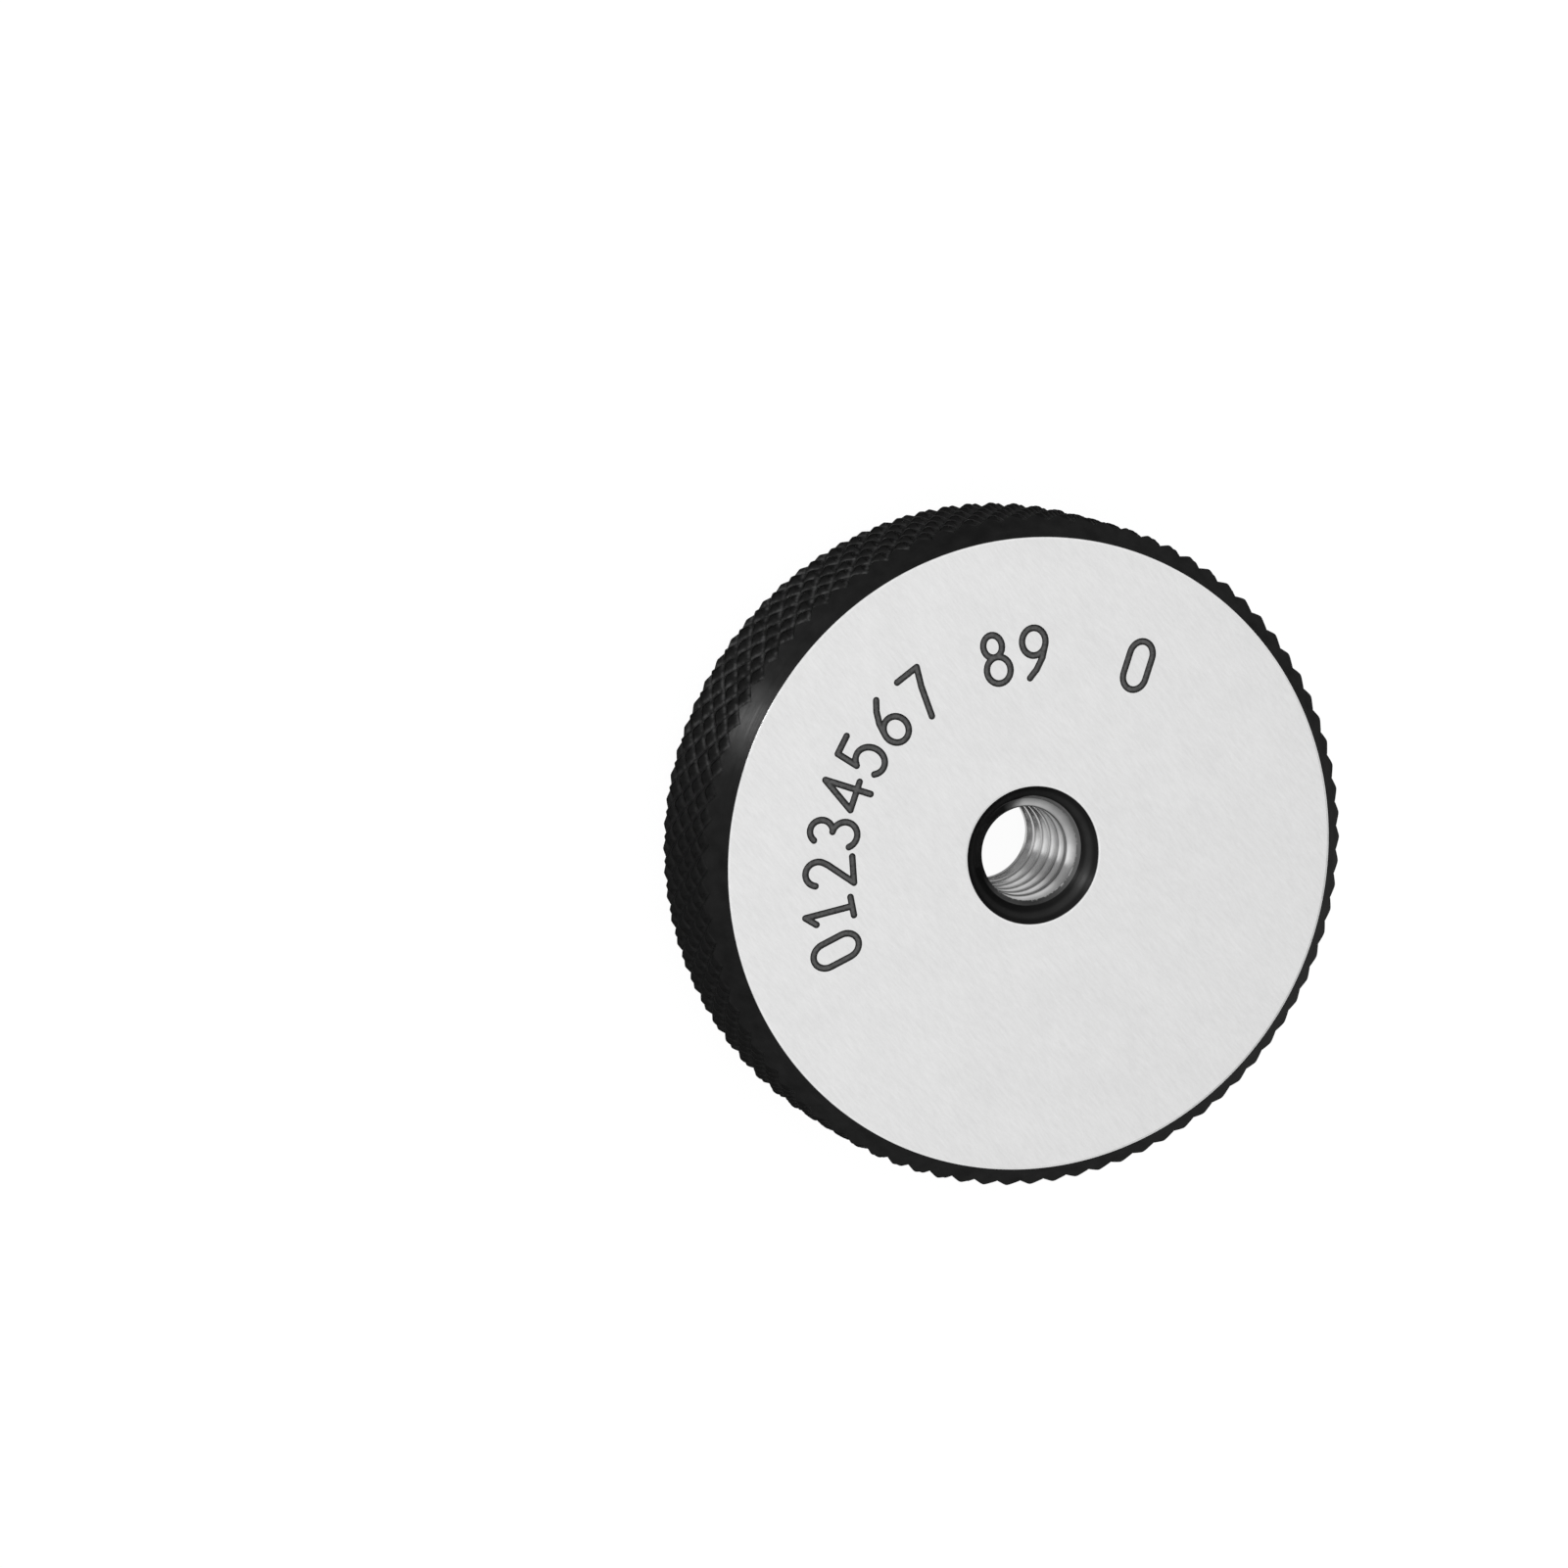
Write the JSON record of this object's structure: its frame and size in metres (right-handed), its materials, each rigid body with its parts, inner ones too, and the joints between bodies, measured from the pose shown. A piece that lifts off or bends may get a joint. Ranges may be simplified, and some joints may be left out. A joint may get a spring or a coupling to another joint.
{
  "type": "thread ring gauge",
  "caption": "Solid thread ring gauge: a round steel disc with a diamond-knurled rim, two ground faces and a countersunk threaded bore, for checking an external thread.",
  "frame": {"origin": "centre of the lower (plain) face, on the thread axis", "axes": "+Z along the thread axis, out of the marked face; +X and +Y lie in the lower face"},
  "size_m": [0.032, 0.032, 0.0084],
  "materials": {
    "gauge_steel": "satin"
  },
  "bodies": {
    "root": {"gauge_ring": "gauge_steel"}
  },
  "joints": []
}
